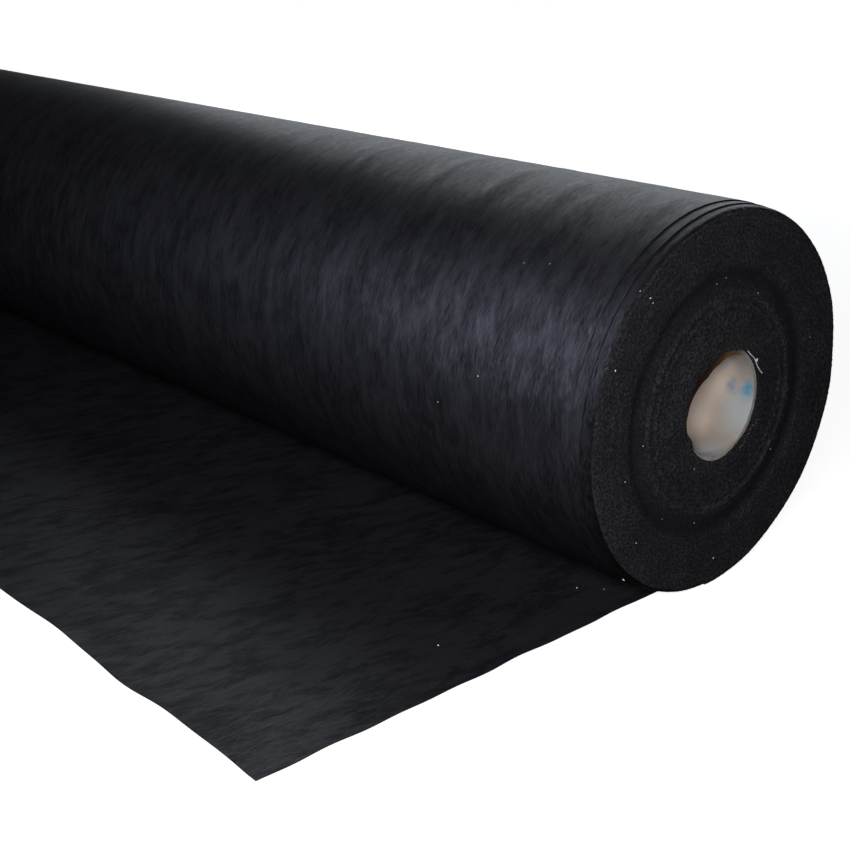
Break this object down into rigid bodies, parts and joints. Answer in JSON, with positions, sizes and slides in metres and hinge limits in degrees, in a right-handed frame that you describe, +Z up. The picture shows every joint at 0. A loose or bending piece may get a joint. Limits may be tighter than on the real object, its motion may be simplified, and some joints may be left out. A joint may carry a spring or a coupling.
{
  "type": "roll of agricultural fleece",
  "caption": "Long roll of black non-woven fleece on a cardboard core, lying on its side with its free end laid out flat in front of it.",
  "frame": {"origin": "on the floor, on the line where the sheet leaves the roll, at the middle of the windings' length", "axes": "+X along the roll towards the near end, where the two outer wraps stand back; -Y along the free end; +Z up"},
  "size_m": [1.617, 0.5284, 0.279],
  "materials": {
    "fleece": "matt black spunbond with a faint fibre sheen",
    "cardboard": "grey-brown spirally wound board",
    "tape": "satin white double-sided tape"
  },
  "bodies": {
    "roll": {"core_tube": "cardboard", "start_tape": "tape", "windings_inner": "fleece", "windings_middle": "fleece", "windings_outer": "fleece", "second_wrap": "fleece", "outermost_wrap": "fleece"},
    "tail_1": {"tail_strip_1": "fleece"},
    "tail_2": {"tail_strip_2": "fleece"},
    "tail_3": {"tail_strip_3": "fleece"},
    "tail_4": {"tail_strip_4": "fleece"},
    "tail_5": {"tail_strip_5": "fleece"},
    "tail_6": {"tail_strip_6": "fleece"},
    "tail_7": {"tail_strip_7": "fleece"},
    "tail_8": {"tail_strip_8": "fleece"}
  },
  "joints": [
    {"name": "tail_curl_1", "type": "hinge", "parent": "roll", "child": "tail_1", "pos_m": [0, -0.02475, 0.0005], "axis": [-1, 0, 0], "range_deg": [0, 18.46]},
    {"name": "tail_curl_2", "type": "hinge", "parent": "tail_1", "child": "tail_2", "pos_m": [0, -0.07025, 0.0005], "axis": [-1, 0, 0], "range_deg": [0, 18.46]},
    {"name": "tail_curl_3", "type": "hinge", "parent": "tail_2", "child": "tail_3", "pos_m": [0, -0.11575, 0.0005], "axis": [-1, 0, 0], "range_deg": [0, 18.46]},
    {"name": "tail_curl_4", "type": "hinge", "parent": "tail_3", "child": "tail_4", "pos_m": [0, -0.16125, 0.0005], "axis": [-1, 0, 0], "range_deg": [0, 18.46]},
    {"name": "tail_curl_5", "type": "hinge", "parent": "tail_4", "child": "tail_5", "pos_m": [0, -0.20675, 0.0005], "axis": [-1, 0, 0], "range_deg": [0, 18.46]},
    {"name": "tail_curl_6", "type": "hinge", "parent": "tail_5", "child": "tail_6", "pos_m": [0, -0.25225, 0.0005], "axis": [-1, 0, 0], "range_deg": [0, 18.46]},
    {"name": "tail_curl_7", "type": "hinge", "parent": "tail_6", "child": "tail_7", "pos_m": [0, -0.29775, 0.0005], "axis": [-1, 0, 0], "range_deg": [0, 18.46]},
    {"name": "tail_curl_8", "type": "hinge", "parent": "tail_7", "child": "tail_8", "pos_m": [0, -0.34325, 0.0005], "axis": [-1, 0, 0], "range_deg": [0, 18.46]}
  ],
  "couplings": [
    {"joint": "tail_curl_2", "follows": "tail_curl_1", "ratio": 1},
    {"joint": "tail_curl_3", "follows": "tail_curl_1", "ratio": 1},
    {"joint": "tail_curl_4", "follows": "tail_curl_1", "ratio": 1},
    {"joint": "tail_curl_5", "follows": "tail_curl_1", "ratio": 1},
    {"joint": "tail_curl_6", "follows": "tail_curl_1", "ratio": 1},
    {"joint": "tail_curl_7", "follows": "tail_curl_1", "ratio": 1},
    {"joint": "tail_curl_8", "follows": "tail_curl_1", "ratio": 1}
  ]
}
